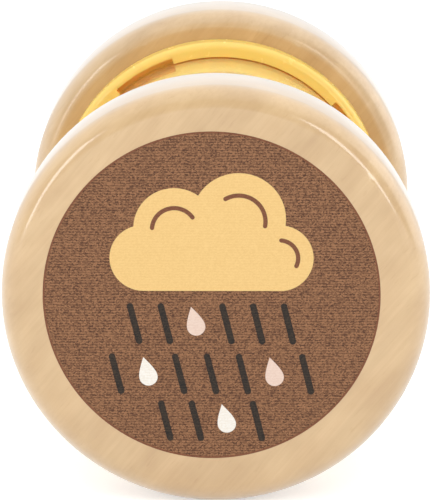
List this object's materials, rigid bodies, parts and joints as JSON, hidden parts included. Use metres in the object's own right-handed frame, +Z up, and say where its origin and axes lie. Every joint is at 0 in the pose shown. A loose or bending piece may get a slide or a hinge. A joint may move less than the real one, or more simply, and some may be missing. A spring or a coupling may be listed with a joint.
{
  "type": "rainmaker rattle",
  "caption": "Hand rattle: two turned wooden discs joined by a clear drum with yellow end caps, in which coloured beads trickle through perforated plates when it is tipped.",
  "frame": {"origin": "on the surface that the rattle lies on, under the middle of the drum", "axes": "+Y along the drum's axis from the printed front disc to the rear disc, +Z up, +X to the right seen from the front"},
  "size_m": [0.07, 0.089, 0.07],
  "materials": {
    "wood": "pale beech or maple, sanded, clear matt lacquer",
    "yellow_plastic": "moulded, glossy",
    "clear_plastic": "clear, polished",
    "screw_steel": "zinc plated",
    "bead_white": "glossy",
    "bead_yellow": "glossy",
    "bead_brown": "glossy"
  },
  "bodies": {
    "rattle": {"front_disc": "wood", "rear_disc": "wood", "front_cap": "yellow_plastic", "rear_cap": "yellow_plastic", "front_cap_screws": "screw_steel", "rear_cap_screws": "screw_steel", "tube": "clear_plastic", "centre_rod": "wood", "front_sieve": "yellow_plastic", "middle_sieve": "yellow_plastic", "rear_sieve": "yellow_plastic"},
    "front_beads": {"front_beads_white": "bead_white", "front_beads_yellow": "bead_yellow", "front_beads_brown": "bead_brown"},
    "inner_front_beads": {"inner_front_beads_white": "bead_white", "inner_front_beads_yellow": "bead_yellow", "inner_front_beads_brown": "bead_brown"},
    "inner_rear_beads": {"inner_rear_beads_white": "bead_white", "inner_rear_beads_yellow": "bead_yellow", "inner_rear_beads_brown": "bead_brown"},
    "rear_beads": {"rear_beads_white": "bead_white", "rear_beads_yellow": "bead_yellow", "rear_beads_brown": "bead_brown"},
    "front_loose_beads": {"front_loose_beads": "bead_white"},
    "inner_front_loose_beads": {"inner_front_loose_beads": "bead_yellow"},
    "inner_rear_loose_beads": {"inner_rear_loose_beads": "bead_white"},
    "rear_loose_beads": {"rear_loose_beads": "bead_yellow"}
  },
  "joints": [
    {"name": "front_beads_tumble", "type": "hinge", "parent": "rattle", "child": "front_beads", "pos_m": [0, 0, 0.035], "axis": [0, 1, 0], "continuous": true},
    {"name": "inner_front_beads_tumble", "type": "hinge", "parent": "rattle", "child": "inner_front_beads", "pos_m": [0, 0, 0.035], "axis": [0, 1, 0], "continuous": true},
    {"name": "inner_rear_beads_tumble", "type": "hinge", "parent": "rattle", "child": "inner_rear_beads", "pos_m": [0, 0, 0.035], "axis": [0, 1, 0], "continuous": true},
    {"name": "rear_beads_tumble", "type": "hinge", "parent": "rattle", "child": "rear_beads", "pos_m": [0, 0, 0.035], "axis": [0, 1, 0], "continuous": true},
    {"name": "front_beads_trickle", "type": "slide", "parent": "front_beads", "child": "front_loose_beads", "axis": [0, 1, 0], "range_m": [-0.00455, 0.00455]},
    {"name": "inner_front_beads_trickle", "type": "slide", "parent": "inner_front_beads", "child": "inner_front_loose_beads", "axis": [0, 1, 0], "range_m": [-0.0039, 0.0039]},
    {"name": "inner_rear_beads_trickle", "type": "slide", "parent": "inner_rear_beads", "child": "inner_rear_loose_beads", "axis": [0, 1, 0], "range_m": [-0.0039, 0.0039]},
    {"name": "rear_beads_trickle", "type": "slide", "parent": "rear_beads", "child": "rear_loose_beads", "axis": [0, 1, 0], "range_m": [-0.00455, 0.00455]}
  ]
}
